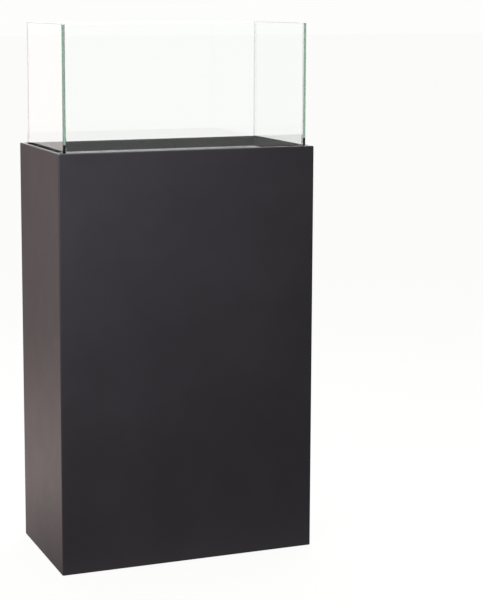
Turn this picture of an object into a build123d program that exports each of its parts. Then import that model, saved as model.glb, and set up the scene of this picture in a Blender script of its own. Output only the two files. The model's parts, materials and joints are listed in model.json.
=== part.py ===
from build123d import *
import os

# Gas fire column: a folded steel box with a flame tray in its top, four panes of
# glass around the flames, and a bay for the gas bottle behind a door at the rear.
# Millimetres. The origin is the middle of the footprint, on the floor. +Z is up and
# the plain front faces -Y.

# ---- Driving dimensions -------------------------------------------------------------
WIDTH = 600.0  # outside, along X
DEPTH = 320.0  # outside, along Y
RIM_HEIGHT = 938.0  # floor to the rim of the box
GLASS_RISE = 275.0  # rim to the top edge of the glass
FOOT_HEIGHT = 3.0  # the box stands this far off the floor

SHEET = 2.0  # housing sheet
THIN_SHEET = 1.5  # door, tray, channel and small brackets
BEND = 3.5  # outside radius of the vertical folds
RIM_BEND = 3.0  # outside radius of the fold into the rim
RIM_FLANGE = 8.5  # width of the rim, from the outer face inwards
BOTTOM_FLANGE = 17.0  # width of the flange that carries the base plate

GLASS_INSET = 15.0  # outer face of the box to the outer face of a pane
GLASS_THICKNESS = 6.0
GLASS_SINK = 25.0  # how far the panes reach below the rim
PANE_GAP = 1.0  # between the end of a long pane and a side pane
PANE_ARRIS = 0.6  # ground edge of a pane

TRAY_INSET = 24.0  # outer face of the box to the outer face of the tray and its surround
TRAY_DEPTH = 103.0  # tray floor below the rim
LEDGE_DEPTH = 22.5  # flange of the tray below the rim
LEDGE_WIDTH = 22.0  # flange of the tray, around its bowl
SURROUND_LIP = 2.0  # top of the surround below the rim

OPENING_HALF = 272.0  # half the width of the rear opening
SILL_TOP = 20.0  # lower edge of the rear opening
OPENING_TOP = 900.0  # upper edge of the rear opening
UPTURN_TOP = 17.0  # top of the base plate's upturned edge
DOOR_GAP = 2.0
DOOR_TOP = 668.0
DOOR_RETURN = 14.0  # depth of the door's folded edges

RUN = 0.05  # radial clearance of a running fit
FIT = 0.1  # radial clearance of a screw in its hole
SCREW = 2.0  # radius of an M4 shank
BUTT = 0.3  # clearance of a piece that fits inside the housing

# ---- Worked-out sizes ---------------------------------------------------------------
HALF_W = WIDTH / 2
HALF_D = DEPTH / 2
INNER_W = HALF_W - SHEET
INNER_D = HALF_D - SHEET
BASE_Z = FOOT_HEIGHT + SHEET
BASE_TOP = BASE_Z + SHEET
TRAY_FLOOR = RIM_HEIGHT - TRAY_DEPTH
TRAY_UNDER = TRAY_FLOOR - THIN_SHEET
TRAY_HALF_W = HALF_W - TRAY_INSET
TRAY_HALF_D = HALF_D - TRAY_INSET
LEDGE_Z = RIM_HEIGHT - LEDGE_DEPTH
BOWL_HALF_W = TRAY_HALF_W - LEDGE_WIDTH
BOWL_HALF_D = TRAY_HALF_D - LEDGE_WIDTH
GLASS_BOTTOM = RIM_HEIGHT - GLASS_SINK
GLASS_TOP = RIM_HEIGHT + GLASS_RISE
PANE_W = HALF_W - GLASS_INSET
PANE_D = HALF_D - GLASS_INSET
SEAT_THICKNESS = 3.0
CHANNEL_FLOOR = GLASS_BOTTOM - SEAT_THICKNESS
SHIELD_Z = 818.0
DOOR_BOTTOM = SILL_TOP + DOOR_GAP
DOOR_HALF = OPENING_HALF - DOOR_GAP
PIVOT_X = -262.0
PIVOT_Y = 152.0
CONTROL_Z = 758.0  # centre line of the knob and the igniter
KNOB_X = -55.0
IGNITER_X = 65.0
RECESS_FLOOR = 131.5  # rear face of the control recess floor
VALVE_Y = 100.0
PIPE_Z = CONTROL_Z - 8.0


def slab(x, y, z, mode=Mode.ADD):
    """Add or cut a box given by its limits along X, Y and Z."""
    with Locations((x[0], y[0], z[0])):
        Box(x[1] - x[0], y[1] - y[0], z[1] - z[0], align=(Align.MIN, Align.MIN, Align.MIN), mode=mode)


def rod(plane, radius, length, mode=Mode.ADD):
    """Add or cut a cylinder that starts on a plane and follows its normal."""
    with Locations(plane):
        Cylinder(radius, length, align=(Align.CENTER, Align.CENTER, Align.MIN), mode=mode)


def taper(plane, radius, end_radius, length, mode=Mode.ADD):
    """Add or cut a cone that starts on a plane and follows its normal."""
    with Locations(plane):
        Cone(radius, end_radius, length, align=(Align.CENTER, Align.CENTER, Align.MIN), mode=mode)


def up(x, y, z):
    """Plane facing +Z through a point."""
    return Plane(origin=(x, y, z))


def back(x, y, z):
    """Plane facing +Y through a point, its own x axis towards -X and its y axis up."""
    return Plane(origin=(x, y, z), x_dir=(-1, 0, 0), z_dir=(0, 1, 0))


def corners(x, y):
    """The four points at plus and minus x and y."""
    return [(sx * x, sy * y) for sx in (-1, 1) for sy in (-1, 1)]


pieces = {}

# ---- Housing ------------------------------------------------------------------------
panel_screw_points = [(sx * 266.0, z) for sx in (-1, 1) for z in (688.0, 786.0, 884.0)]
keeper_screw_points = [(290.0, 330.0), (290.0, 370.0)]
base_screw_points = corners(200.0, 151.0) + corners(291.0, 80.0)

# The wrap: front, sides, rear rail and rear returns, with the rim and bottom flanges.
with BuildPart() as housing_shell:
    with BuildSketch(up(0, 0, FOOT_HEIGHT)):
        RectangleRounded(WIDTH, DEPTH, BEND)
    extrude(amount=RIM_HEIGHT - FOOT_HEIGHT)
    fillet(housing_shell.edges().group_by(Axis.Z)[-1], RIM_BEND)
    with BuildSketch(up(0, 0, BASE_Z)):
        RectangleRounded(2 * INNER_W, 2 * INNER_D, BEND - SHEET)
    extrude(amount=RIM_HEIGHT - SHEET - BASE_Z, mode=Mode.SUBTRACT)
    with BuildSketch(up(0, 0, RIM_HEIGHT - SHEET)):
        Rectangle(WIDTH - 2 * RIM_FLANGE, DEPTH - 2 * RIM_FLANGE)
    extrude(amount=SHEET, mode=Mode.SUBTRACT)
    with BuildSketch(up(0, 0, FOOT_HEIGHT)):
        Rectangle(WIDTH - 2 * BOTTOM_FLANGE, DEPTH - 2 * BOTTOM_FLANGE)
    extrude(amount=SHEET, mode=Mode.SUBTRACT)
    slab((-OPENING_HALF, OPENING_HALF), (INNER_D, HALF_D), (SILL_TOP, OPENING_TOP), Mode.SUBTRACT)
    for x, y in base_screw_points:
        rod(up(x, y, FOOT_HEIGHT), SCREW + FIT, SHEET, Mode.SUBTRACT)
    for x, z in keeper_screw_points:
        taper(back(x, INNER_D, z), SCREW + FIT, 2 * SCREW + FIT, SHEET, Mode.SUBTRACT)
pieces["housing_shell"] = housing_shell

foot_points = corners(255.0, 125.0)
hose_hole_radius = 14.0  # lets a hose come up from below, under the inlet nipple
anchor_points = corners(200.0, 110.0)
ring_radius = 131.5
ring_tab_reach = 24.0
ring_tab_start = 30.0
ring_screws = PolarLocations(ring_radius + 15.0, 3, start_angle=ring_tab_start)

# Floor of the bottle bay, with a stiffening upturn, air slots, anchor and foot holes.
with BuildPart() as base_plate:
    with BuildSketch(up(0, 0, BASE_Z)):
        RectangleRounded(2 * (INNER_W - BUTT), 2 * (INNER_D - BUTT), SHEET)
    extrude(amount=UPTURN_TOP - BASE_Z)
    with BuildSketch(up(0, 0, BASE_TOP)):
        Rectangle(2 * (INNER_W - BUTT - SHEET), 2 * (INNER_D - BUTT - SHEET))
    extrude(amount=UPTURN_TOP - BASE_TOP, mode=Mode.SUBTRACT)
    for x in (-228.0, 228.0):
        with BuildSketch(up(x, 0, BASE_Z)):
            with GridLocations(0, 22, 1, 7):
                SlotOverall(70, 8)
        extrude(amount=SHEET, mode=Mode.SUBTRACT)
    for x, y in anchor_points:
        rod(up(x, y, BASE_Z), 4.5, SHEET, Mode.SUBTRACT)
    for x, y in foot_points:
        rod(up(x, y, BASE_Z), 4.0, SHEET, Mode.SUBTRACT)
    rod(up(KNOB_X, VALVE_Y, BASE_Z), hose_hole_radius, SHEET, Mode.SUBTRACT)
    for x, y in base_screw_points:
        rod(up(x, y, BASE_Z), SCREW + FIT, SHEET, Mode.SUBTRACT)
    with ring_screws:
        with Locations((0, 0, BASE_Z)):
            Cylinder(SCREW + FIT, SHEET, align=(Align.CENTER, Align.CENTER, Align.MIN), mode=Mode.SUBTRACT)
pieces["base_plate"] = base_plate

# Four moulded glides, each pegged into the base plate.
foot_names = ("foot_front_left", "foot_rear_left", "foot_front_right", "foot_rear_right")
for name, (x, y) in zip(foot_names, foot_points):
    with BuildPart() as foot:
        rod(up(x, y, 0), 18.0, BASE_Z)
        fillet(foot.edges().group_by(Axis.Z)[0], 1.0)
        rod(up(x, y, BASE_Z), 4.0 - FIT, 6.0)
        chamfer(foot.edges().group_by(Axis.Z)[-1], 1.0)
    pieces[name] = foot

# Flat-bar ring that locates the foot of the bottle, with three screwed tabs.
with BuildPart() as bottle_ring:
    rod(up(0, 0, BASE_TOP), ring_radius, 20.0)
    rod(up(0, 0, BASE_TOP), ring_radius - 3.0, 20.0, Mode.SUBTRACT)
    with BuildSketch(up(0, 0, BASE_TOP)):
        with PolarLocations(ring_radius - 1.0, 3, start_angle=ring_tab_start):
            SlotOverall(2 * ring_tab_reach, 20)
        Circle(ring_radius - 3.0, mode=Mode.SUBTRACT)
    extrude(amount=SHEET)
    with ring_screws:
        with Locations((0, 0, BASE_TOP)):
            Cylinder(SCREW + FIT, SHEET, align=(Align.CENTER, Align.CENTER, Align.MIN), mode=Mode.SUBTRACT)
pieces["bottle_ring"] = bottle_ring

# Two flat bars behind the rear returns carry the upper panel.
with BuildPart() as rear_rails:
    for sx in (-1, 1):
        x = sorted((sx * 258.0, sx * 292.0))
        slab(x, (INNER_D - 2.5, INNER_D), (DOOR_TOP + 6.0, OPENING_TOP + 10.0))
    for x, z in panel_screw_points:
        rod(back(x, INNER_D - 2.5, z), SCREW + FIT, 2.5, Mode.SUBTRACT)
pieces["rear_rails"] = rear_rails

recess_x = (-110.0, 110.0)
recess_z = (CONTROL_Z - 52.0, CONTROL_Z + 52.0)

# Fixed panel above the door, with the opening of the control recess and a lower flange.
with BuildPart() as rear_upper_panel:
    panel_half = OPENING_HALF - 0.5
    slab((-panel_half, panel_half), (INNER_D, HALF_D), (DOOR_TOP + 4.0, OPENING_TOP - 0.5))
    slab((-252, 252), (INNER_D - 22.0, INNER_D), (DOOR_TOP + 4.0, DOOR_TOP + 6.0))
    slab(recess_x, (INNER_D, HALF_D), recess_z, Mode.SUBTRACT)
    for x, z in panel_screw_points:
        taper(back(x, INNER_D, z), SCREW + FIT, 2 * SCREW + FIT, SHEET, Mode.SUBTRACT)
    with BuildSketch(back(0, INNER_D, 0)):
        with Locations((-185, 850), (0, 850), (185, 850)):
            with GridLocations(0, 14, 1, 3):
                SlotOverall(110, 6)
    extrude(amount=SHEET, mode=Mode.SUBTRACT)
pieces["rear_upper_panel"] = rear_upper_panel

# Folded box, open to the rear, that sets the controls in behind the rear face.
with BuildPart() as control_recess:
    outer_x = (recess_x[0] - THIN_SHEET, recess_x[1] + THIN_SHEET)
    outer_z = (recess_z[0] - THIN_SHEET, recess_z[1] + THIN_SHEET)
    slab(outer_x, (RECESS_FLOOR - THIN_SHEET, INNER_D), outer_z)
    slab((-120, 120), (INNER_D - THIN_SHEET, INNER_D), (recess_z[0] - 10, recess_z[1] + 10))
    slab(recess_x, (RECESS_FLOOR, INNER_D), recess_z, Mode.SUBTRACT)
    floor_back = RECESS_FLOOR - THIN_SHEET
    rod(back(KNOB_X, floor_back, CONTROL_Z), 9.0 + FIT, THIN_SHEET, Mode.SUBTRACT)
    rod(back(IGNITER_X, floor_back, CONTROL_Z), 11.0 + FIT, THIN_SHEET, Mode.SUBTRACT)
pieces["control_recess"] = control_recess

# ---- Rear door ----------------------------------------------------------------------
louvre_rows = [z for start in (85.0, 505.0) for z in [start + 18.0 * i for i in range(6)]]
louvre_half = 150.0
latch_x = 240.0
latch_z = 350.0
cup_radius = 22.0

with BuildPart() as rear_door:
    slab((-DOOR_HALF, DOOR_HALF), (HALF_D - DOOR_RETURN, HALF_D), (DOOR_BOTTOM, DOOR_TOP))
    slab(
        (-DOOR_HALF + THIN_SHEET, DOOR_HALF - THIN_SHEET),
        (HALF_D - DOOR_RETURN, HALF_D - THIN_SHEET),
        (DOOR_BOTTOM + THIN_SHEET, DOOR_TOP - THIN_SHEET),
        Mode.SUBTRACT,
    )
    # Louvres: a slot with a blade that slopes in and down behind it.
    for z in louvre_rows:
        skin = HALF_D - THIN_SHEET
        slab((-louvre_half, louvre_half), (skin, HALF_D), (z, z + 7.0), Mode.SUBTRACT)
        blade = [(skin + 0.5, z + 7.0), (skin + 0.5, z + 8.2), (skin - 8.0, z - 1.0), (skin - 8.0, z - 2.2)]
        with BuildSketch(Plane.YZ.offset(-louvre_half)):
            Polygon(*blade, align=None)
        extrude(amount=2 * louvre_half)
    rod(back(latch_x, HALF_D - THIN_SHEET, latch_z), cup_radius, THIN_SHEET, Mode.SUBTRACT)
    rod(up(PIVOT_X, PIVOT_Y, DOOR_TOP - THIN_SHEET), 5.0, THIN_SHEET, Mode.SUBTRACT)
    rod(up(PIVOT_X, PIVOT_Y, DOOR_BOTTOM), 5.0, THIN_SHEET, Mode.SUBTRACT)
pieces["rear_door"] = rear_door

# Pivot hinges: a bracket on the side wall, a pin in it, and a flanged bush in the door.
pin_radius = 3.0
bush_flange = 1.4
pin_proud = 2.0
upper_leaf = DOOR_TOP + 2.0
lower_leaf = DOOR_BOTTOM - bush_flange - FIT - THIN_SHEET
base_upturn = INNER_W - BUTT - SHEET
# Name, height of the bracket's leaf, height of its wall tab, wall it stands on, door edge.
pivots = (
    ("upper", upper_leaf, (upper_leaf, upper_leaf + 25.0), INNER_W, DOOR_TOP, 1),
    ("lower", lower_leaf, (BASE_TOP + 1.0, lower_leaf + THIN_SHEET), base_upturn, DOOR_BOTTOM, -1),
)
for name, leaf_z, tab_z, wall, door_z, side in pivots:
    with BuildPart() as pivot_bracket:
        slab((-wall, PIVOT_X + 9.0), (138.0, 156.0), (leaf_z, leaf_z + THIN_SHEET))
        slab((-wall, -wall + THIN_SHEET), (126.0, 155.0), tab_z)
        rod(up(PIVOT_X, PIVOT_Y, leaf_z), pin_radius, THIN_SHEET, Mode.SUBTRACT)
    pieces[name + "_pivot_bracket"] = pivot_bracket

    low = door_z - 12.0 if side > 0 else leaf_z - pin_proud
    high = leaf_z + THIN_SHEET + pin_proud if side > 0 else door_z + 12.0
    with BuildPart() as pivot_pin:
        rod(up(PIVOT_X, PIVOT_Y, low), pin_radius, high - low)
        chamfer(pivot_pin.edges().group_by(Axis.Z)[0], 0.5)
        chamfer(pivot_pin.edges().group_by(Axis.Z)[-1], 0.5)
    pieces[name + "_pivot_pin"] = pivot_pin

    with BuildPart() as door_bush:
        body_z = door_z - 8.0 if side > 0 else door_z
        flange_z = door_z if side > 0 else door_z - bush_flange
        rod(up(PIVOT_X, PIVOT_Y, body_z), 5.0, 8.0)
        rod(up(PIVOT_X, PIVOT_Y, flange_z), 7.0, bush_flange)
        rod(up(PIVOT_X, PIVOT_Y, min(body_z, flange_z)), pin_radius + RUN, 8.0 + bush_flange, Mode.SUBTRACT)
    pieces[name + "_door_bush"] = door_bush

# Quarter-turn latch: a round cup in the door, a grip that turns in it, a cam and its nut.
cup_floor = 148.0
with BuildPart() as latch_cup:
    rod(back(latch_x, cup_floor, latch_z), cup_radius - FIT, HALF_D - cup_floor)
    rod(back(latch_x, HALF_D - 2 * THIN_SHEET, latch_z), cup_radius + 5.0, THIN_SHEET)
    rod(back(latch_x, cup_floor + THIN_SHEET, latch_z), cup_radius - 1.5, HALF_D - cup_floor, Mode.SUBTRACT)
    rod(back(latch_x, cup_floor, latch_z), 4.0 + RUN, THIN_SHEET, Mode.SUBTRACT)
pieces["latch_cup"] = latch_cup

with BuildPart() as latch_knob:
    rod(back(latch_x, cup_floor + THIN_SHEET + 0.3, latch_z), 9.0, 3.0)
    with BuildSketch(back(latch_x, cup_floor + THIN_SHEET + 3.3, latch_z)):
        SlotOverall(6.0 * 6, 6.0, rotation=90)
    extrude(amount=6.0)
    fillet(latch_knob.edges().group_by(Axis.Y)[-1], 1.0)
    rod(back(latch_x, 137.0, latch_z), 4.0, cup_floor + THIN_SHEET + 0.3 - 137.0)
pieces["latch_knob"] = latch_knob

cam_y = (141.5, 144.5)
with BuildPart() as latch_cam:
    with BuildSketch(back(latch_x, cam_y[0], latch_z)):
        Circle(9.0)
        with Locations((0, 19)):
            Rectangle(14, 38)
    extrude(amount=cam_y[1] - cam_y[0])
    fillet(latch_cam.edges().filter_by(Axis.Y).group_by(Axis.Z)[-1], 4.0)
    rod(back(latch_x, cam_y[0], latch_z), 4.0, 3.0, Mode.SUBTRACT)
pieces["latch_cam"] = latch_cam

with BuildPart() as latch_nut:
    with BuildSketch(back(latch_x, cam_y[0] - 3.5, latch_z)):
        RegularPolygon(6.5, 6, major_radius=False)
        Circle(4.0, mode=Mode.SUBTRACT)
    extrude(amount=3.5)
    with BuildSketch(back(latch_x, cam_y[1], latch_z)):
        Circle(7.0)
        Circle(4.0, mode=Mode.SUBTRACT)
    extrude(amount=cup_floor - 0.3 - cam_y[1])
pieces["latch_nut"] = latch_nut

# Z-shaped keeper on the rear return, which the turned cam reaches behind.
with BuildPart() as latch_keeper:
    keeper_z = (latch_z - 34.0, latch_z + 34.0)
    slab((281.0, 296.0), (INNER_D - SHEET, INNER_D), keeper_z)
    slab((281.0, 283.0), (cam_y[1] + 0.3, INNER_D), keeper_z)
    slab((273.0, 283.0), (cam_y[1] + 0.3, cam_y[1] + 0.3 + SHEET), keeper_z)
    for x, z in keeper_screw_points:
        rod(back(x, INNER_D - SHEET, z), SCREW + FIT, SHEET, Mode.SUBTRACT)
pieces["latch_keeper"] = latch_keeper

# ---- Flame tray and glass -----------------------------------------------------------
support_z = TRAY_UNDER - THIN_SHEET
for name, sx in (("tray_support_left", -1), ("tray_support_right", 1)):
    upright = sorted((sx * INNER_W, sx * (INNER_W - THIN_SHEET)))
    shelf = sorted((sx * INNER_W, sx * 240.0))
    with BuildPart() as tray_support:
        slab(upright, (-140, 125), (support_z - 32.0, TRAY_UNDER))
        slab(shelf, (-140, 125), (support_z, TRAY_UNDER))
        chamfer(tray_support.edges().filter_by(Axis.Z).group_by(SortBy.LENGTH)[0], 0.5)
    pieces[name] = tray_support

spacer_points = corners(190.0, 90.0)
bracket_x = (-150.0, 150.0)
bracket_screw_points = [(x, y) for x in bracket_x for y in (-22.0, 22.0)]
drain_points = corners(228.0, 100.0)
sensor_x = KNOB_X
spark_x = IGNITER_X
sensor_y = 24.0
venturi_radius = 11.0
lead_hole = 5.0

# Deep-drawn pan that holds the burner and the stones, with a flat flange around it.
with BuildPart() as burner_tray:
    with BuildSketch(up(0, 0, TRAY_UNDER)):
        RectangleRounded(2 * BOWL_HALF_W, 2 * BOWL_HALF_D, 6.0)
    extrude(amount=LEDGE_Z - TRAY_UNDER)
    with BuildSketch(up(0, 0, LEDGE_Z - THIN_SHEET)):
        Rectangle(2 * TRAY_HALF_W, 2 * TRAY_HALF_D)
    extrude(amount=THIN_SHEET)
    with BuildSketch(up(0, 0, TRAY_FLOOR)):
        RectangleRounded(2 * (BOWL_HALF_W - THIN_SHEET), 2 * (BOWL_HALF_D - THIN_SHEET), 4.5)
    extrude(amount=LEDGE_Z - TRAY_FLOOR, mode=Mode.SUBTRACT)
    rod(up(0, 0, TRAY_UNDER), venturi_radius + 0.3, THIN_SHEET, Mode.SUBTRACT)
    for x, y in drain_points:
        rod(up(x, y, TRAY_UNDER), 4.0, THIN_SHEET, Mode.SUBTRACT)
    for x, y in spacer_points + bracket_screw_points:
        rod(up(x, y, TRAY_UNDER), SCREW + FIT, THIN_SHEET, Mode.SUBTRACT)
    for x in (sensor_x, spark_x):
        rod(up(x, sensor_y, TRAY_UNDER), lead_hole, THIN_SHEET, Mode.SUBTRACT)
pieces["burner_tray"] = burner_tray

# Upright frame that stands on the tray's flange and closes the gap up to the rim.
with BuildPart() as tray_surround:
    with BuildSketch(up(0, 0, LEDGE_Z)):
        Rectangle(2 * TRAY_HALF_W, 2 * TRAY_HALF_D)
        Rectangle(2 * (TRAY_HALF_W - THIN_SHEET), 2 * (TRAY_HALF_D - THIN_SHEET), mode=Mode.SUBTRACT)
    extrude(amount=LEDGE_DEPTH - SURROUND_LIP)
pieces["tray_surround"] = tray_surround

# Heat shield, hung below the tray on spacers.
shield = (SHIELD_Z, SHIELD_Z + THIN_SHEET)
with BuildPart() as heat_shield:
    slab((-255, 255), (-118, 118), shield)
    slab((-255, -253.5), (-118, 118), (SHIELD_Z - 12.0, SHIELD_Z))
    slab((253.5, 255), (-118, 118), (SHIELD_Z - 12.0, SHIELD_Z))
    rod(up(0, 0, SHIELD_Z), 16.0, THIN_SHEET, Mode.SUBTRACT)
    for x, y in spacer_points:
        rod(up(x, y, SHIELD_Z), SCREW + FIT, THIN_SHEET, Mode.SUBTRACT)
    for x in (sensor_x, spark_x):
        rod(up(x, sensor_y, SHIELD_Z), lead_hole + 2.0, THIN_SHEET, Mode.SUBTRACT)
pieces["heat_shield"] = heat_shield

with BuildPart() as shield_spacers:
    for x, y in spacer_points:
        rod(up(x, y, shield[1]), 5.0, TRAY_UNDER - shield[1])
        rod(up(x, y, shield[1]), SCREW + FIT, TRAY_UNDER - shield[1], Mode.SUBTRACT)
pieces["shield_spacers"] = shield_spacers

# U-shaped channel around the tray: outer wall, floor and inner wall.
channel_out_w = HALF_W - 11.5
channel_out_d = HALF_D - 11.5
with BuildPart() as glass_channel:
    with BuildSketch(up(0, 0, CHANNEL_FLOOR - THIN_SHEET)):
        Rectangle(2 * channel_out_w, 2 * channel_out_d)
        Rectangle(2 * TRAY_HALF_W, 2 * TRAY_HALF_D, mode=Mode.SUBTRACT)
    extrude(amount=25.0)
    with BuildSketch(up(0, 0, CHANNEL_FLOOR)):
        Rectangle(2 * (channel_out_w - THIN_SHEET), 2 * (channel_out_d - THIN_SHEET))
        Rectangle(2 * (TRAY_HALF_W + THIN_SHEET), 2 * (TRAY_HALF_D + THIN_SHEET), mode=Mode.SUBTRACT)
    extrude(amount=25.0, mode=Mode.SUBTRACT)
    for x, y in corners(180.0, PANE_D - 3.0):
        rod(up(x, y, CHANNEL_FLOOR - THIN_SHEET), 2.5, THIN_SHEET, Mode.SUBTRACT)
pieces["glass_channel"] = glass_channel

# Silicone strip on the channel floor, under all four panes.
with BuildPart() as glass_seat_strip:
    with BuildSketch(up(0, 0, CHANNEL_FLOOR)):
        Rectangle(2 * PANE_W + 1, 2 * PANE_D + 1)
        inner_w = 2 * (PANE_W - GLASS_THICKNESS) - 1
        inner_d = 2 * (PANE_D - GLASS_THICKNESS) - 1
        Rectangle(inner_w, inner_d, mode=Mode.SUBTRACT)
    extrude(amount=SEAT_THICKNESS)
pieces["glass_seat_strip"] = glass_seat_strip

# Four clear panes. The side panes run the full depth and cover the ends of the others.
long_half = PANE_W - GLASS_THICKNESS - PANE_GAP
panes = (
    ("glass_front", (-long_half, long_half), (-PANE_D, -PANE_D + GLASS_THICKNESS)),
    ("glass_back", (-long_half, long_half), (PANE_D - GLASS_THICKNESS, PANE_D)),
    ("glass_left", (-PANE_W, -PANE_W + GLASS_THICKNESS), (-PANE_D, PANE_D)),
    ("glass_right", (PANE_W - GLASS_THICKNESS, PANE_W), (-PANE_D, PANE_D)),
)
for name, x, y in panes:
    with BuildPart() as pane:
        slab(x, y, (GLASS_BOTTOM, GLASS_TOP))
        chamfer(pane.edges(), PANE_ARRIS)
    pieces[name] = pane

# ---- Burner -------------------------------------------------------------------------
burner_radius = 12.0
burner_wall = 1.2
burner_half = 210.0
burner_z = TRAY_FLOOR + 26.0
port_count = 36
port_pitch = 11.0
along = Plane(origin=(-burner_half, 0, burner_z), x_dir=(0, 1, 0), z_dir=(1, 0, 0))

with BuildPart() as burner_tube:
    rod(along, burner_radius, 2 * burner_half)
    rod(along, burner_radius - burner_wall, 2 * burner_half, Mode.SUBTRACT)
    rod(up(0, 0, burner_z - burner_radius), venturi_radius - 1.5, burner_radius, Mode.SUBTRACT)
    for side in (-1, 1):
        for i in range(port_count):
            x = (i - (port_count - 1) / 2) * port_pitch
            port = Plane(origin=(x, 0, burner_z), x_dir=(1, 0, 0), z_dir=(0, side * 0.7071, 0.7071))
            rod(port, 1.2, burner_radius + 1.0, Mode.SUBTRACT)
pieces["burner_tube"] = burner_tube

with BuildPart() as burner_end_caps:
    for sx in (-1, 1):
        end = Plane(origin=(sx * burner_half, 0, burner_z), x_dir=(0, 1, 0), z_dir=(sx, 0, 0))
        rod(end, burner_radius, THIN_SHEET)
        rod(Plane(origin=(sx * (burner_half - 8.0), 0, burner_z), x_dir=(0, 1, 0), z_dir=(sx, 0, 0)),
            burner_radius - burner_wall - RUN, 8.0)
pieces["burner_end_caps"] = burner_end_caps

# Two saddle brackets carry the tube, each on two screwed feet.
with BuildPart() as burner_brackets:
    for x in bracket_x:
        slab((x - 8, x + 8), (-30, 30), (TRAY_FLOOR, TRAY_FLOOR + THIN_SHEET))
        slab((x - 1, x + 1), (-15, 15), (TRAY_FLOOR, burner_z))
    rod(along, burner_radius + RUN, 2 * burner_half, Mode.SUBTRACT)
    for x, y in bracket_screw_points:
        rod(up(x, y, TRAY_FLOOR), SCREW + FIT, THIN_SHEET, Mode.SUBTRACT)
pieces["burner_brackets"] = burner_brackets

venturi_low = 764.0
window_z = (776.0, 790.0)
with BuildPart() as venturi_tube:
    rod(up(0, 0, venturi_low), venturi_radius, burner_z - venturi_low)
    rod(along, burner_radius + RUN, 2 * burner_half, Mode.SUBTRACT)
    rod(up(0, 0, venturi_low), venturi_radius - 1.5, burner_z - venturi_low, Mode.SUBTRACT)
    slab((-5, 5), (-20, 20), window_z, Mode.SUBTRACT)
    slab((-20, 20), (-5, 5), window_z, Mode.SUBTRACT)
    rod(up(0, 0, venturi_low), venturi_radius + 2.5, 3.0)
    rod(up(0, 0, venturi_low), venturi_radius - 1.5, 3.0, Mode.SUBTRACT)
pieces["venturi_tube"] = venturi_tube

# Sleeve that turns on the venturi to open or close its air windows.
with BuildPart() as air_shutter:
    rod(up(0, 0, window_z[0] - 4.0), venturi_radius + 1.8, 22.0)
    rod(up(0, 0, window_z[0] - 4.0), venturi_radius + RUN, 22.0, Mode.SUBTRACT)
    slab((-5, 5), (-20, 20), window_z, Mode.SUBTRACT)
    slab((-20, 20), (-5, 5), window_z, Mode.SUBTRACT)
    slab((8.4, 17.0), (8.4, 10.4), (window_z[1] + 1.0, window_z[1] + 4.0))
pieces["air_shutter"] = air_shutter

# Brass jet, its holder and the strap that hangs the holder from the heat shield.
holder_z = (PIPE_Z - 10.0, venturi_low - 2.0)
with BuildPart() as injector_holder:
    with BuildSketch(up(0, 0, holder_z[0])):
        RegularPolygon(10.0, 6, major_radius=False)
    extrude(amount=holder_z[1] - holder_z[0])
    rod(back(0, 0, PIPE_Z), 4.0 + RUN, 20.0, Mode.SUBTRACT)
    rod(up(0, 0, PIPE_Z), 3.0, 20.0, Mode.SUBTRACT)
pieces["injector_holder"] = injector_holder

with BuildPart() as injector:
    rod(up(0, 0, PIPE_Z + 4.5), 3.0 - RUN, holder_z[1] - PIPE_Z - 4.5)
    with BuildSketch(up(0, 0, holder_z[1])):
        RegularPolygon(5.0, 6, major_radius=False)
    extrude(amount=4.0)
    taper(up(0, 0, holder_z[1] + 4.0), 4.0, 2.0, 6.0)
    rod(up(0, 0, PIPE_Z), 0.6, 40.0, Mode.SUBTRACT)
pieces["injector"] = injector

with BuildPart() as injector_bracket:
    slab((-9, 9), (-12, -10), (holder_z[0], holder_z[1]))
    slab((-9, 9), (-22, -10), (holder_z[0], holder_z[0] + 2.0))
    slab((-9, 9), (-22, -20), (holder_z[0], SHIELD_Z))
    slab((-9, 9), (-38, -20), (SHIELD_Z - 2.0, SHIELD_Z))
pieces["injector_bracket"] = injector_bracket

# ---- Gas control --------------------------------------------------------------------
valve_box = ((KNOB_X - 20, KNOB_X + 20), (82.0, 118.0), (CONTROL_Z - 20, CONTROL_Z + 20))
with BuildPart() as gas_valve_body:
    slab(*valve_box)
    fillet(gas_valve_body.edges(), 3.0)
    rod(back(KNOB_X, 118.0, CONTROL_Z), 13.0, RECESS_FLOOR - THIN_SHEET - 118.0)
    rod(back(KNOB_X, 118.0, CONTROL_Z), 9.0, 136.0 - 118.0)
    rod(up(KNOB_X, VALVE_Y, valve_box[2][0] - 8.0), 8.0, 10.0)
    outlet = Plane(origin=(KNOB_X + 18, VALVE_Y, PIPE_Z), x_dir=(0, 1, 0), z_dir=(1, 0, 0))
    rod(outlet, 7.5, 10.0)
    rod(outlet, 4.0 + RUN, 10.0, Mode.SUBTRACT)
    rod(back(KNOB_X, 108.0, CONTROL_Z), 6.0 + RUN, 30.0, Mode.SUBTRACT)
    rod(up(KNOB_X, VALVE_Y - 8.0, CONTROL_Z + 12.0), 1.4, 10.0, Mode.SUBTRACT)
pieces["gas_valve_body"] = gas_valve_body

with BuildPart() as valve_nut:
    with BuildSketch(back(KNOB_X, RECESS_FLOOR + 1.0, CONTROL_Z)):
        RegularPolygon(13.0, 6, major_radius=False)
        Circle(9.0, mode=Mode.SUBTRACT)
    extrude(amount=3.0)
pieces["valve_nut"] = valve_nut

with BuildPart() as knob_bezel:
    rod(back(KNOB_X, RECESS_FLOOR, CONTROL_Z), 32.0, 1.0)
    chamfer(knob_bezel.edges().group_by(Axis.Y)[-1], 0.4)
    rod(back(KNOB_X, RECESS_FLOOR, CONTROL_Z), 9.0 + FIT, 1.0, Mode.SUBTRACT)
pieces["knob_bezel"] = knob_bezel

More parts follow.
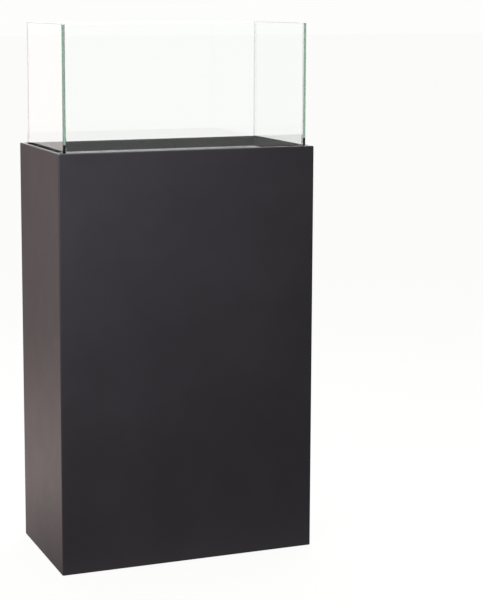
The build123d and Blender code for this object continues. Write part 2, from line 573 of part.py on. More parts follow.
# The plunger slides in the valve body and the spindle turns inside the plunger.
with BuildPart() as valve_plunger:
    rod(back(KNOB_X, 114.0, CONTROL_Z), 6.0, 25.0)
    rod(back(KNOB_X, 116.0, CONTROL_Z), 4.0 + RUN, 25.0, Mode.SUBTRACT)
pieces["valve_plunger"] = valve_plunger

with BuildPart() as valve_spindle:
    rod(back(KNOB_X, 116.5, CONTROL_Z), 4.0, 36.0)
    slab((KNOB_X + 2.6, KNOB_X + 5.0), (142.0, 153.0), (CONTROL_Z - 5, CONTROL_Z + 5), Mode.SUBTRACT)
pieces["valve_spindle"] = valve_spindle

knob_y = (139.0, 159.0)
knob_radius = 21.0
with BuildPart() as control_knob:
    rod(back(KNOB_X, knob_y[0], CONTROL_Z), knob_radius, knob_y[1] - knob_y[0])
    fillet(control_knob.edges().group_by(Axis.Y)[-1], 2.5)
    with BuildSketch(back(KNOB_X, knob_y[0] + 4.0, CONTROL_Z)):
        with PolarLocations(knob_radius + 1.0, 18):
            Circle(2.2)
    extrude(amount=20.0, mode=Mode.SUBTRACT)
    rod(back(KNOB_X, knob_y[0], CONTROL_Z), 17.0, 6.0, Mode.SUBTRACT)
    rod(back(KNOB_X, knob_y[0], CONTROL_Z), 4.0 + 0.02, 13.6, Mode.SUBTRACT)
    pointer_z = (CONTROL_Z + 8, CONTROL_Z + 19)
    slab((KNOB_X - 0.8, KNOB_X + 0.8), (knob_y[1] - 0.8, knob_y[1]), pointer_z, Mode.SUBTRACT)
pieces["control_knob"] = control_knob

# Hose tail in the bottle bay, pointing down.
nipple_top = valve_box[2][0] - 8.0
nipple_length = 22.0
with BuildPart() as inlet_nipple:
    with BuildSketch(up(KNOB_X, VALVE_Y, nipple_top - 10.0)):
        RegularPolygon(9.0, 6, major_radius=False)
    extrude(amount=10.0)
    rod(up(KNOB_X, VALVE_Y, nipple_top - 10.0 - nipple_length), 6.58, nipple_length)
    chamfer(inlet_nipple.edges().group_by(Axis.Z)[0], 0.8)
    rod(up(KNOB_X, VALVE_Y, nipple_top - 10.0 - nipple_length), 3.0, nipple_length + 6.0, Mode.SUBTRACT)
pieces["inlet_nipple"] = inlet_nipple

# Rigid supply pipe from the valve's outlet to the injector holder.
with BuildPart() as gas_pipe:
    with BuildLine():
        FilletPolyline((KNOB_X + 22, VALVE_Y, PIPE_Z), (0, VALVE_Y, PIPE_Z), (0, 4.0, PIPE_Z), radius=16.0)
    with BuildSketch(Plane(origin=(KNOB_X + 22, VALVE_Y, PIPE_Z), x_dir=(0, 1, 0), z_dir=(1, 0, 0))):
        Circle(4.0)
        Circle(3.0, mode=Mode.SUBTRACT)
    sweep()
pieces["gas_pipe"] = gas_pipe

nut_planes = (
    Plane(origin=(KNOB_X + 28, VALVE_Y, PIPE_Z), x_dir=(0, 1, 0), z_dir=(1, 0, 0)),
    Plane(origin=(0, 9.0, PIPE_Z), x_dir=(1, 0, 0), z_dir=(0, 1, 0)),
)
with BuildPart() as gas_pipe_nuts:
    for plane in nut_planes:
        with BuildSketch(plane.offset(1.2)):
            RegularPolygon(7.5, 6, major_radius=False)
            Circle(4.0 + RUN, mode=Mode.SUBTRACT)
        extrude(amount=8.0)
pieces["gas_pipe_nuts"] = gas_pipe_nuts

# Push-button piezo igniter.
igniter_front = 84.0
with BuildPart() as igniter_body:
    rod(back(IGNITER_X, igniter_front, CONTROL_Z), 9.0, 22.0)
    rod(back(IGNITER_X, igniter_front + 22.0, CONTROL_Z), 11.0, RECESS_FLOOR - igniter_front - 22.0)
    rod(back(IGNITER_X, RECESS_FLOOR, CONTROL_Z), 14.0, 5.0)
    fillet(igniter_body.edges().group_by(Axis.Y)[-1], 1.5)
    rod(back(IGNITER_X, igniter_front + 30.0, CONTROL_Z), 8.0 + RUN, 40.0, Mode.SUBTRACT)
pieces["igniter_body"] = igniter_body

with BuildPart() as igniter_nut:
    with BuildSketch(back(IGNITER_X, RECESS_FLOOR - THIN_SHEET - 5.0, CONTROL_Z)):
        RegularPolygon(15.0, 6, major_radius=False)
        Circle(11.0 + RUN, mode=Mode.SUBTRACT)
    extrude(amount=5.0)
pieces["igniter_nut"] = igniter_nut

with BuildPart() as igniter_button:
    rod(back(IGNITER_X, igniter_front + 38.0, CONTROL_Z), 8.0, 24.0)
    fillet(igniter_button.edges().group_by(Axis.Y)[-1], 2.0)
pieces["igniter_button"] = igniter_button

# Flame sensor and spark electrode, each on a small clip beside the burner.
sensor_top = burner_z + burner_radius + 4.0
with BuildPart() as thermocouple:
    rod(up(sensor_x, sensor_y, TRAY_FLOOR - 2.0), 2.4, sensor_top - TRAY_FLOOR + 2.0)
    fillet(thermocouple.edges().group_by(Axis.Z)[-1], 1.5)
    rod(up(sensor_x, sensor_y, TRAY_FLOOR), 6.5, 3.0)
pieces["thermocouple"] = thermocouple

with BuildPart() as spark_electrode:
    rod(up(spark_x, sensor_y, TRAY_FLOOR - 4.0), 3.5, 26.0)
    fillet(spark_electrode.edges().group_by(Axis.Z)[-1], 1.0)
    rod(up(spark_x, sensor_y, TRAY_FLOOR), 6.5, 3.0)
    tip = Plane(origin=(spark_x, sensor_y, TRAY_FLOOR + 20.0), x_dir=(1, 0, 0), z_dir=(0, -0.3, 1.0))
    rod(tip, 0.8, 20.0)
pieces["spark_electrode"] = spark_electrode

with BuildPart() as thermocouple_lead:
    lead_top = TRAY_FLOOR - 2.0
    with BuildLine():
        FilletPolyline(
            (sensor_x, sensor_y, lead_top),
            (sensor_x, sensor_y, 800.0),
            (sensor_x, VALVE_Y - 8.0, 800.0),
            (sensor_x, VALVE_Y - 8.0, CONTROL_Z + 12.0),
            radius=14.0,
        )
    with BuildSketch(Plane(origin=(sensor_x, sensor_y, lead_top), x_dir=(1, 0, 0), z_dir=(0, 0, -1))):
        Circle(1.25)
    sweep()
pieces["thermocouple_lead"] = thermocouple_lead

with BuildPart() as ignition_lead:
    lead_top = TRAY_FLOOR - 4.0
    with BuildLine():
        FilletPolyline(
            (spark_x, sensor_y, lead_top),
            (spark_x, sensor_y, CONTROL_Z),
            (spark_x, igniter_front, CONTROL_Z),
            radius=27.0,
        )
    with BuildSketch(Plane(origin=(spark_x, sensor_y, lead_top), x_dir=(1, 0, 0), z_dir=(0, 0, -1))):
        Circle(2.0)
    sweep()
pieces["ignition_lead"] = ignition_lead

# ---- Fasteners ----------------------------------------------------------------------
head = 3.8
head_height = 2.4

# Flush countersunk screws in the rear face.
with BuildPart() as countersunk_screws:
    for x, z in panel_screw_points + keeper_screw_points:
        taper(back(x, INNER_D, z), SCREW, 2 * SCREW, SHEET)
        rod(back(x, INNER_D - 8.0, z), SCREW, 8.0)
        rod(back(x, HALF_D - 1.0, z), 0.9, 1.0, Mode.SUBTRACT)
pieces["countersunk_screws"] = countersunk_screws

# Pan-head screws: base plate, bottle ring, tray brackets, spacers from both sides.
with BuildPart() as pan_head_screws:
    for x, y in base_screw_points:
        rod(up(x, y, BASE_TOP), head, head_height)
        rod(up(x, y, FOOT_HEIGHT + 0.2), SCREW, BASE_TOP - FOOT_HEIGHT)
    for point in ring_screws.local_locations:
        x, y = point.position.X, point.position.Y
        rod(up(x, y, BASE_TOP + SHEET), head, head_height)
        rod(up(x, y, BASE_Z), SCREW, 2 * SHEET + 0.5)
    for x, y in bracket_screw_points:
        rod(up(x, y, TRAY_FLOOR + THIN_SHEET), head, head_height)
        rod(up(x, y, TRAY_UNDER - 4.0), SCREW, 4.0 + 2 * THIN_SHEET + 0.5)
    for x, y in spacer_points:
        rod(up(x, y, TRAY_FLOOR), head, head_height)
        rod(up(x, y, TRAY_FLOOR - 7.5), SCREW, 8.0)
        rod(up(x, y, SHIELD_Z - head_height), head, head_height)
        rod(up(x, y, SHIELD_Z - 0.5), SCREW, 8.0)
pieces["pan_head_screws"] = pan_head_screws

# ---- Files --------------------------------------------------------------------------
os.makedirs("parts", exist_ok=True)
for name, piece in pieces.items():
    piece.part.label = name
    export_step(piece.part, f"parts/{name}.step")
print(len(pieces), "pieces")
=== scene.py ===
import json
from math import cos, pi, radians, sin

import bmesh
import bpy
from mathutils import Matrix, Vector


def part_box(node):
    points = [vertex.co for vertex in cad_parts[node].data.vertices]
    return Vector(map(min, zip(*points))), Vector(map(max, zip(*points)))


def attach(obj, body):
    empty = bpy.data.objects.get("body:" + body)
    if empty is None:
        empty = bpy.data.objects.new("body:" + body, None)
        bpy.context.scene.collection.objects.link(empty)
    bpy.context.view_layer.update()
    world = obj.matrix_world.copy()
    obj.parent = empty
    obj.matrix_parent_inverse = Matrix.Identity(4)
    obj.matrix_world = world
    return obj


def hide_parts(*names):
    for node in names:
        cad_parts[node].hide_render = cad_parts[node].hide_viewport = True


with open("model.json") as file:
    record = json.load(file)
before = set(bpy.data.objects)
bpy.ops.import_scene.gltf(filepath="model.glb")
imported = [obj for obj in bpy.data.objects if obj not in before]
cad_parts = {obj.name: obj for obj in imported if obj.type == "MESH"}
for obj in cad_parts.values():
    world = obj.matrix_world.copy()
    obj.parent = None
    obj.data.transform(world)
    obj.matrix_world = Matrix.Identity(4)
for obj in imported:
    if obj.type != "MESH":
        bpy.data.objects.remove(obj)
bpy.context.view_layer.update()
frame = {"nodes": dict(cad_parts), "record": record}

scene = bpy.context.scene
MM = 0.001
BEHIND = Vector((0, 1, 0))
UP = Vector((0, 0, 1))

# ---- Camera -------------------------------------------------------------------------
# A moderately long lens a little to the left of the front, at the height of the glass's top.
camera_data = bpy.data.cameras.new("camera")
camera_data.sensor_width = 36.0
camera_data.lens = 98.228
camera_data.shift_x = 0.0711
camera_data.shift_y = -0.1131
camera_data.clip_end = 200.0
camera = bpy.data.objects.new("camera", camera_data)
camera.location = (-1.2586, -3.5174, 1.2543)
camera.rotation_euler = (radians(82.077), radians(-0.02), radians(-20.863))
scene.collection.objects.link(camera)
scene.camera = camera

# Light bounces many times along a pane before it leaves through the edge.
BOUNCES = 64
scene.view_settings.view_transform = "Standard"
scene.cycles.max_bounces = BOUNCES
scene.cycles.transmission_bounces = BOUNCES
scene.cycles.glossy_bounces = BOUNCES
scene.cycles.use_denoising = True


# ---- Node helpers -------------------------------------------------------------------
def node(tree, kind, inputs=None, **settings):
    """Adds a node; an input is a value or another node's output socket."""
    made = tree.nodes.new(kind)
    for name, value in settings.items():
        setattr(made, name, value)
    for key, value in (inputs or {}).items():
        if isinstance(value, bpy.types.NodeSocket):
            tree.links.new(value, made.inputs[key])
        else:
            made.inputs[key].default_value = value
    return made


def maths(tree, operation, a, b):
    return node(tree, "ShaderNodeMath", {0: a, 1: b}, operation=operation).outputs[0]


def noise(tree, place, scale, detail=2.0, roughness=0.5, distortion=0.0):
    inputs = {"Vector": place, "Scale": scale, "Detail": detail, "Roughness": roughness,
              "Distortion": distortion}
    return node(tree, "ShaderNodeTexNoise", inputs).outputs["Fac"]


def remap(tree, value, low, high, to_low, to_high):
    inputs = {"Value": value, "From Min": low, "From Max": high,
              "To Min": to_low, "To Max": to_high}
    return node(tree, "ShaderNodeMapRange", inputs).outputs["Result"]


def shades(colour, *factors):
    """The colour made darker or lighter by each factor."""
    return [tuple(c * factor for c in colour) for factor in factors]


def blend_colour(tree, share, a, b):
    """Mixes two colours, each a tuple or a socket."""
    made = node(tree, "ShaderNodeMix", data_type="RGBA")
    for key, value in ((0, share), (6, a), (7, b)):
        if isinstance(value, bpy.types.NodeSocket):
            tree.links.new(value, made.inputs[key])
        elif key == 0:
            made.inputs[key].default_value = value
        else:
            made.inputs[key].default_value = (*value, 1.0)
    return made.outputs[2]


def material(name):
    """A new material with an empty tree, its output and its object coordinates."""
    made = bpy.data.materials.new(name)
    made.use_nodes = True
    tree = made.node_tree
    tree.nodes.clear()
    output = node(tree, "ShaderNodeOutputMaterial")
    place = node(tree, "ShaderNodeTexCoord").outputs["Object"]
    return made, tree, output, place


def stretched(tree, place, scale):
    return node(tree, "ShaderNodeMapping", {"Vector": place, "Scale": scale}).outputs["Vector"]


def bumped(tree, heights):
    """Chains bumps, each (height socket, strength, distance in metres)."""
    normal = None
    for height, strength, distance in heights:
        inputs = {"Height": height, "Strength": strength, "Distance": distance}
        made = node(tree, "ShaderNodeBump", inputs)
        if normal is not None:
            tree.links.new(normal, made.inputs["Normal"])
        normal = made.outputs["Normal"]
    return normal


def principled(tree, output, colour, roughness, normal=None, **settings):
    inputs = {"Base Color": colour if isinstance(colour, bpy.types.NodeSocket) else (*colour, 1.0),
              "Roughness": roughness}
    shader = node(tree, "ShaderNodeBsdfPrincipled", inputs)
    for key, value in settings.items():
        shader.inputs[key.replace("_", " ")].default_value = value
    if normal is not None:
        tree.links.new(normal, shader.inputs["Normal"])
    tree.links.new(shader.outputs[0], output.inputs["Surface"])
    return shader


# ---- Materials ----------------------------------------------------------------------
def powder_coat(name, colour):
    """Satin powder coat: faint mottling, orange peel, and a fine grain."""
    made, tree, output, place = material(name)
    mottle = noise(tree, place, 5.0, 4.0, 0.6)
    speck = noise(tree, place, 1400.0, 1.0)
    dark, light, fleck = shades(colour, 0.90, 1.10, 1.9)
    tint = blend_colour(tree, remap(tree, mottle, 0.35, 0.65, 0.0, 1.0), dark, light)
    tint = blend_colour(tree, remap(tree, speck, 0.62, 0.8, 0.0, 0.35), tint, fleck)
    smudge = noise(tree, place, 9.0, 5.0, 0.65, 0.6)
    rough = remap(tree, smudge, 0.3, 0.7, 0.385, 0.455)
    peel = noise(tree, place, 420.0, 2.0)
    fine = noise(tree, place, 1700.0, 1.0)
    normal = bumped(tree, [(peel, 0.10, 0.0003), (fine, 0.16, 0.00015)])
    principled(tree, output, tint, rough, normal, Coat_Weight=0.5, Coat_Roughness=0.22)
    return made


def heat_paint(name, colour):
    """Matt heat-resistant paint inside the column, lighter and warmer in soft patches, with pale
    specks.
    """
    made, tree, output, place = material(name)
    patch = noise(tree, place, 11.0, 5.0, 0.62, 0.4)
    speck = noise(tree, place, 260.0, 3.0, 0.7)
    warm = tuple(c * f for c, f in zip(colour, (1.5, 1.38, 1.25)))
    tint = blend_colour(tree, remap(tree, patch, 0.42, 0.72, 0.0, 1.0), colour, warm)
    tint = blend_colour(tree, remap(tree, speck, 0.66, 0.75, 0.0, 0.5), tint, (0.22, 0.21, 0.2))
    rough = remap(tree, patch, 0.3, 0.7, 0.62, 0.5)
    normal = bumped(tree, [(noise(tree, place, 800.0, 2.0), 0.22, 0.0002)])
    principled(tree, output, tint, rough, normal, Specular_IOR_Level=0.2)
    return made


def zinc_plate(name):
    """Bright zinc plate with soft clouding."""
    made, tree, output, place = material(name)
    cloud = noise(tree, place, 60.0, 3.0, 0.6)
    share = remap(tree, cloud, 0.35, 0.65, 0.0, 1.0)
    tint = blend_colour(tree, share, (0.48, 0.49, 0.51), (0.62, 0.62, 0.61))
    rough = remap(tree, cloud, 0.3, 0.7, 0.3, 0.42)
    normal = bumped(tree, [(noise(tree, place, 900.0, 2.0), 0.08, 0.0001)])
    principled(tree, output, tint, rough, normal, Metallic=1.0)
    return made


def brushed_steel(name, tinted=False):
    """Stainless steel with grinding lines along X; the burner also has heat tint."""
    made, tree, output, place = material(name)
    lines = noise(tree, stretched(tree, place, (30.0, 900.0, 900.0)), 1.0, 3.0, 0.6)
    tint = blend_colour(tree, lines, (0.50, 0.49, 0.47), (0.66, 0.65, 0.63))
    if tinted:
        cloud = noise(tree, place, 28.0, 4.0, 0.6)
        ramp = node(tree, "ShaderNodeValToRGB", {"Fac": cloud})
        ramp.color_ramp.elements[0].position = 0.38
        ramp.color_ramp.elements[0].color = (0.52, 0.50, 0.47, 1)
        ramp.color_ramp.elements[1].position = 0.72
        ramp.color_ramp.elements[1].color = (0.16, 0.20, 0.34, 1)
        straw = ramp.color_ramp.elements.new(0.52)
        straw.color = (0.50, 0.36, 0.18, 1)
        bronze = ramp.color_ramp.elements.new(0.63)
        bronze.color = (0.32, 0.17, 0.16, 1)
        tint = blend_colour(tree, 0.55, tint, ramp.outputs["Color"])
    rough = remap(tree, lines, 0.3, 0.7, 0.24, 0.42)
    normal = bumped(tree, [(lines, 0.12, 0.00008)])
    principled(tree, output, tint, rough, normal, Metallic=1.0)
    return made


def tray_steel(name):
    """Stainless sheet with faint straw and water marks, and painted shade that darkens it to near
    black below its flange.
    """
    made, tree, output, place = material(name)
    lines = noise(tree, stretched(tree, place, (25.0, 700.0, 700.0)), 1.0, 3.0, 0.6)
    cloud = noise(tree, place, 14.0, 5.0, 0.6, 0.5)
    clean = blend_colour(tree, lines, (0.76, 0.76, 0.81), (0.88, 0.88, 0.93))
    tint = blend_colour(tree, remap(tree, cloud, 0.5, 0.75, 0.0, 0.5), clean, (0.50, 0.43, 0.33))
    height = node(tree, "ShaderNodeSeparateXYZ", {"Vector": place}).outputs["Z"]
    uneven = maths(tree, "ADD", height, maths(tree, "MULTIPLY", cloud, 0.03))
    # Painted shade: the sheet gets darker with depth below the flange, where the recess is in shade.
    painted_recess_shade = remap(tree, uneven, 0.924, 0.895, 0.0, 0.93)
    tint = blend_colour(tree, painted_recess_shade, tint, (0.060, 0.055, 0.052))
    rough = remap(tree, cloud, 0.3, 0.7, 0.5, 0.62)
    normal = bumped(tree, [(lines, 0.15, 0.0001)])
    principled(tree, output, tint, rough, normal, Metallic=1.0)
    return made


def cast_alloy(name):
    """Die-cast and drawn aluminium with a rough skin."""
    made, tree, output, place = material(name)
    cloud = noise(tree, place, 90.0, 4.0, 0.6)
    tint = blend_colour(tree, cloud, (0.42, 0.43, 0.44), (0.58, 0.58, 0.58))
    rough = remap(tree, cloud, 0.3, 0.7, 0.36, 0.52)
    normal = bumped(tree, [(noise(tree, place, 700.0, 3.0), 0.25, 0.00015)])
    principled(tree, output, tint, rough, normal, Metallic=1.0)
    return made


def brass(name):
    """Turned brass, a little tarnished."""
    made, tree, output, place = material(name)
    cloud = noise(tree, place, 120.0, 3.0, 0.6)
    tint = blend_colour(tree, cloud, (0.52, 0.35, 0.13), (0.74, 0.55, 0.27))
    rough = remap(tree, cloud, 0.3, 0.7, 0.2, 0.36)
    principled(tree, output, tint, rough, Metallic=1.0)
    return made


def moulded(name, colour, roughness, bump=0.15, coat=0.0):
    """Moulded plastic with a fine spark-eroded grain."""
    made, tree, output, place = material(name)
    grain = noise(tree, place, 1100.0, 2.0)
    patch = noise(tree, place, 40.0, 3.0)
    tint = blend_colour(tree, patch, *shades(colour, 0.88, 1.12))
    rough = remap(tree, patch, 0.3, 0.7, roughness - 0.05, roughness + 0.05)
    normal = bumped(tree, [(grain, bump, 0.00015)])
    principled(tree, output, tint, rough, normal, Coat_Weight=coat)
    return made


def braided(name, colour):
    """Woven heat-resistant sleeve."""
    made, tree, output, place = material(name)
    weave = node(tree, "ShaderNodeTexWave", {"Vector": place, "Scale": 420.0, "Distortion": 2.0},
                 bands_direction="DIAGONAL").outputs["Fac"]
    tint = blend_colour(tree, weave, *shades(colour, 0.6, 1.4))
    normal = bumped(tree, [(weave, 0.4, 0.0002)])
    principled(tree, output, tint, 0.7, normal)
    return made


def clear_glass(name):
    """Clear float glass: colourless through its thickness, green along its length."""
    made, tree, output, place = material(name)
    principled(tree, output, (1.0, 1.0, 1.0), 0.0, IOR=1.52, Transmission_Weight=1.0)
    inputs = {"Color": (0.58, 0.70, 0.63, 1.0), "Density": 10.0}
    volume = node(tree, "ShaderNodeVolumeAbsorption", inputs)
    tree.links.new(volume.outputs[0], output.inputs["Volume"])
    return made


finishes = {
    "housing_paint": powder_coat("anthracite_powder_coat", (0.033, 0.0305, 0.0365)),
    "inner_paint": heat_paint("dark_heat_paint", (0.030, 0.030, 0.031)),
    "zinc_plate": zinc_plate("zinc_plate"),
    "glass": clear_glass("float_glass"),
    "seat_rubber": moulded("black_silicone", (0.02, 0.02, 0.02), 0.5),
    "tray_steel": tray_steel("matt_stainless"),
    "stainless": brushed_steel("heat_tinted_stainless", tinted=True),
    "brass": brass("turned_brass"),
    "cast_alloy": cast_alloy("cast_alloy"),
    "black_plastic": moulded("black_moulding", (0.022, 0.022, 0.024), 0.42),
    "nylon": moulded("natural_nylon", (0.66, 0.64, 0.58), 0.4),
    "ceramic": moulded("white_ceramic", (0.74, 0.72, 0.66), 0.3, 0.05, 0.3),
    "lead_sheath": braided("woven_sleeve", (0.10, 0.055, 0.03)),
}
slot_of = {part["node"]: part["material_slot"] for part in frame["record"]["subparts"]}
for name, piece in frame["nodes"].items():
    piece.data.materials.clear()
    piece.data.materials.append(finishes[slot_of[name]])
# The bezel stays cool, so it has no heat tint.
frame["nodes"]["knob_bezel"].data.materials[0] = brushed_steel("brushed_stainless")


# ---- Small pieces -------------------------------------------------------------------
def finished(bm, name, body, slot):
    """Makes a piece that rides on a body and takes its finish from a slot."""
    bmesh.ops.recalc_face_normals(bm, faces=bm.faces[:])
    mesh = bpy.data.meshes.new(name)
    bm.to_mesh(mesh)
    bm.free()
    mesh.shade_smooth()
    mesh.set_sharp_from_angle(angle=radians(35.0))
    mesh.materials.append(finishes[slot])
    made = bpy.data.objects.new(name, mesh)
    scene.collection.objects.link(made)
    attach(made, body)
    return made


def bridged(bm, rings):
    """Joins closed rings of points one to the next and closes both ends."""
    rings = [[bm.verts.new(point) for point in ring] for ring in rings]
    for near, far in zip(rings, rings[1:]):
        for k in range(len(near)):
            after = (k + 1) % len(near)
            bm.faces.new((near[k], near[after], far[after], far[k]))
    bm.faces.new(rings[0])
    bm.faces.new(rings[-1])


def turned(bm, profile, base, axis, sides=24):
    """Turns (radius, height, is a hexagon) rings, in mm, about an axis."""
    turn = UP.rotation_difference(axis).to_matrix()
    rings = []
    for radius, height, hexagonal in profile:
        ring = []
        for k in range(sides):
            angle = 2 * pi * k / sides
            reach = radius / cos(angle % (pi / 3) - pi / 6) if hexagonal else radius
            spot = Vector((reach * cos(angle), reach * sin(angle), height)) * MM
            ring.append(base + turn @ spot)
        rings.append(ring)
    bridged(bm, rings)


def solids(name):
    """The points of each separate solid of a CAD node."""
    bm = bmesh.new()
    bm.from_mesh(frame["nodes"][name].data)
    bmesh.ops.remove_doubles(bm, verts=bm.verts[:], dist=1e-6)
    seen, found = set(), []
    for start in bm.verts:
        if start in seen:
            continue
        seen.add(start)
        waiting, points = [start], []
        while waiting:
            vert = waiting.pop()
            points.append(vert.co.copy())
            for edge in vert.link_edges:
                other = edge.other_vert(vert)
                if other not in seen:
                    seen.add(other)
                    waiting.append(other)
        found.append(points)
    bm.free()
    return found


def corner_box(points):
    low = Vector([min(p[k] for p in points) for k in range(3)])
    high = Vector([max(p[k] for p in points) for k in range(3)])
    return low, high


# Screw profiles, in mm from the tip.
SHANK = 2.0
SCREW_TIP = [(SHANK - 0.3, 0.0, False), (SHANK, 0.4, False)]
PAN_HEIGHT = 2.4


def hexagon_socket(top, depth):
    half_width = 1.25
    return [(half_width + 0.12, top, True), (half_width, top - 0.12, True),
            (half_width - 0.05, top - depth, True)]


def countersunk_screws():
    """Flush screws in the rear face, each with a hexagon socket."""
    bm = bmesh.new()
    for points in solids("countersunk_screws"):
        low, high = corner_box(points)
        length = (high.y - low.y) / MM
        rim = (high.x - low.x) / MM / 2
        head = [(SHANK, length - rim + SHANK, False), (rim - 0.05, length - 0.15, False),
                (rim - 0.2, length, False)]
        base = Vector(((low.x + high.x) / 2, low.y, (low.z + high.z) / 2))
        turned(bm, SCREW_TIP + head + hexagon_socket(length, 2.1), base, BEHIND)
    heads = finished(bm, "socket_countersunk_screws", "housing", "zinc_plate")
    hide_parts("countersunk_screws")


def pan_head_screws():
    """Screws inside, each with a hexagon socket; some point up and some down."""
    bm = bmesh.new()
    for points in solids("pan_head_screws"):
        low, high = corner_box(points)
        middle = (low + high) / 2
        rim = (high.x - low.x) / 2
        wide = [p.z for p in points if (p - middle).xy.length > 0.9 * rim]
        upward = sum(wide) / len(wide) > middle.z
        length, rim = (high.z - low.z) / MM, rim / MM
        seat = length - PAN_HEIGHT
        head = [(SHANK, seat, False), (rim - 0.1, seat, False), (rim, seat + 0.2, False),
                (rim - 0.1, seat + 1.4, False), (rim - 0.6, seat + 2.1, False),
                (rim - 1.5, length, False)]
        base = Vector((middle.x, middle.y, low.z if upward else high.z))
        turned(bm, SCREW_TIP + head + hexagon_socket(length, 1.5), base, UP if upward else -UP)
    heads = finished(bm, "socket_pan_head_screws", "housing", "zinc_plate")
    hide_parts("pan_head_screws")


def dial_marks(dial):
    """On the bezel, a dot for off and an arc that widens with the flame, filled black."""
    under, over = -0.1, 0.12  # from just below the bezel's face to just above it
    outer, dot_radius, dot_reach = 29.0, 1.4, 26.5
    bm = bmesh.new()
    dot = [(dot_radius, under, False), (dot_radius, over / 2, False), (dot_radius - 0.15, over, False)]
    turned(bm, dot, dial + UP * dot_reach * MM, BEHIND)
    steps, first, sweep = 48, 30.0, 180.0
    sections = []
    for k in range(steps + 1):
        angle = radians(first + sweep * k / steps)
        inner = outer - 0.6 - 4.0 * k / steps
        section = [(outer, under), (outer, over), (inner, over), (inner, under)]
        sections.append([dial + Vector((r * sin(angle), y, r * cos(angle))) * MM for r, y in section])
    bridged(bm, sections)
    finished(bm, "dial_marks", "housing", "black_plastic")


def pointer_inlay(dial, knob_face):
    """A pale strip, rounded at its outer end, in the knob's pointer groove."""
    half, start, end, thick = 0.7, 8.2, 18.8, 0.6
    rounding = [radians(angle) for angle in (45, 90, 135)]
    outline = [(-half, start), (half, start), (half, end - half)]
    outline += [(half * cos(a), end - half + half * sin(a)) for a in rounding]
    outline += [(-half, end - half)]
    top = knob_face - 0.15 * MM
    depths = (top - thick * MM, top)
    bm = bmesh.new()
    bridged(bm, [[Vector((dial.x + x * MM, y, dial.z + z * MM)) for x, z in outline] for y in depths])
    finished(bm, "pointer_inlay", "knob", "ceramic")


bezel_low, bezel_high = (Vector(corner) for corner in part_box("knob_bezel"))
dial = (bezel_low + bezel_high) / 2
dial.y = bezel_high.y
countersunk_screws()
pan_head_screws()
dial_marks(dial)
pointer_inlay(dial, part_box("control_knob")[1][1])


# ---- Studio -------------------------------------------------------------------------
def warm_left(tree, across):
    """The light is warm from the left and neutral from the right."""
    share = remap(tree, across, -0.6, 0.4, 0.0, 1.0)
    return blend_colour(tree, share, (1.17, 0.93, 0.90), (1.0, 0.99, 1.0))


def studio_shader(tree, kind, soft, tint, mirrored, plain):
    """The share that the eye sees straight, the light on the object, and what the eye sees.

    soft is the strength that lights the object, and mirrored is what polished glass reflects.
    plain is what the eye sees, and 8% more where it looks through glass, because the backdrop is
    brighter than white. A matt surface behind the glass gets the soft light, not the backdrop.
    """
    path = node(tree, "ShaderNodeLightPath")
    through = path.outputs["Is Transmission Ray"]
    straight = maths(tree, "MAXIMUM", path.outputs["Is Camera Ray"], through)
    undiffused = maths(tree, "LESS_THAN", path.outputs["Diffuse Depth"], 0.5)
    straight = maths(tree, "MULTIPLY", straight, undiffused)
    level = remap(tree, through, 0.0, 1.0, plain, 1.08 * plain)
    white = (0.985, 0.985, 0.975)
    part_tint = blend_colour(tree, 0.4, white, tint)
    matt = node(tree, kind, {"Color": tint, "Strength": soft})
    mirror = node(tree, kind, {"Color": part_tint, "Strength": mirrored})
    seen = node(tree, kind, {"Color": (*white, 1), "Strength": level})
    singular = path.outputs["Is Singular Ray"]
    lit = node(tree, "ShaderNodeMixShader", {0: singular, 1: matt.outputs[0], 2: mirror.outputs[0]})
    return straight, lit.outputs[0], seen.outputs[0]


def white_world(backdrop, front, rear):
    """A plain white backdrop. What lights the object is bright behind it and dim in front of it."""
    world = bpy.data.worlds.new("studio")
    world.use_nodes = True
    tree = world.node_tree
    tree.nodes.clear()
    output = node(tree, "ShaderNodeOutputWorld")
    direction = node(tree, "ShaderNodeTexCoord").outputs["Generated"]
    split = node(tree, "ShaderNodeSeparateXYZ", {"Vector": direction})
    depth = remap(tree, split.outputs["Y"], -0.1, 0.5, front, rear)
    side = remap(tree, split.outputs["X"], -0.05, 0.35, 0.33, 2.0)
    soft = maths(tree, "MULTIPLY", depth, side)
    tint = warm_left(tree, split.outputs["X"])
    mirrored = remap(tree, split.outputs["Y"], -0.2, 0.3, 0.25, 1.0)
    kind = "ShaderNodeBackground"
    straight, lit, seen = studio_shader(tree, kind, soft, tint, mirrored, backdrop)
    mixed = node(tree, "ShaderNodeMixShader", {0: straight, 1: lit, 2: seen})
    tree.links.new(mixed.outputs[0], output.inputs["Surface"])
    scene.world = world


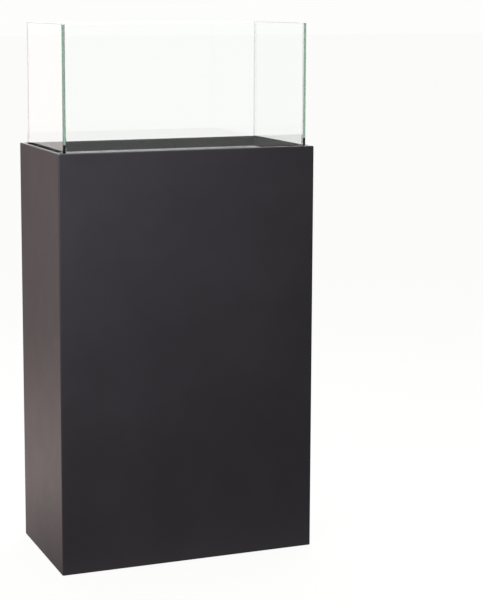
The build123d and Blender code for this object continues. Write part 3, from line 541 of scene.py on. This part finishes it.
def pale_floor(backdrop, front, rear):
    """A white floor that runs into the backdrop, with only a faint shadow."""
    mesh = bpy.data.meshes.new("floor")
    half = 60.0
    corners = [(-half, -half, 0), (half, -half, 0), (half, half, 0), (-half, half, 0)]
    mesh.from_pydata(corners, [], [(0, 1, 2, 3)])
    floor = bpy.data.objects.new("floor", mesh)
    scene.collection.objects.link(floor)
    made, tree, output, place = material("floor_white")
    split = node(tree, "ShaderNodeSeparateXYZ", {"Vector": place})
    near = remap(tree, split.outputs["Y"], -0.4, 0.6, front, rear)
    fading = remap(tree, split.outputs["Y"], 0.8, 2.4, 1.0, 0.5)
    soft = maths(tree, "MULTIPLY", near, fading)
    tint = warm_left(tree, split.outputs["X"])
    mirrored = remap(tree, split.outputs["Y"], -1.0, 1.0, 0.25, 1.0)
    kind = "ShaderNodeEmission"
    straight, lit, seen = studio_shader(tree, kind, soft, tint, mirrored, backdrop)
    shade = node(tree, "ShaderNodeBsdfDiffuse", {"Color": (0.9, 0.9, 0.9, 1)})
    white = node(tree, "ShaderNodeMixShader", {0: 0.95, 1: shade.outputs[0], 2: seen})
    both = node(tree, "ShaderNodeMixShader", {0: straight, 1: lit, 2: white.outputs[0]})
    tree.links.new(both.outputs[0], output.inputs["Surface"])
    mesh.materials.append(made)


def soft_light(name, place, target, size, power):
    """A round area light that the camera doesn't see, directly or through the glass."""
    data = bpy.data.lights.new(name, "AREA")
    data.shape = "DISK"
    data.size = size
    data.energy = power
    lamp = bpy.data.objects.new(name, data)
    lamp.location = place
    lamp.rotation_euler = (Vector(target) - Vector(place)).to_track_quat("-Z", "Y").to_euler()
    lamp.visible_camera = False
    lamp.visible_transmission = False
    scene.collection.objects.link(lamp)


white_world(backdrop=1.0, front=0.12, rear=1.15)
pale_floor(backdrop=1.005, front=0.08, rear=0.55)
soft_light("key", (-1.1, -1.2, 1.6), (-0.2, -0.16, 0.8), 0.9, 40.0)
soft_light("overhead", (0.2, 0.5, 2.6), (0.0, 0.0, 0.9), 1.4, 85.0)
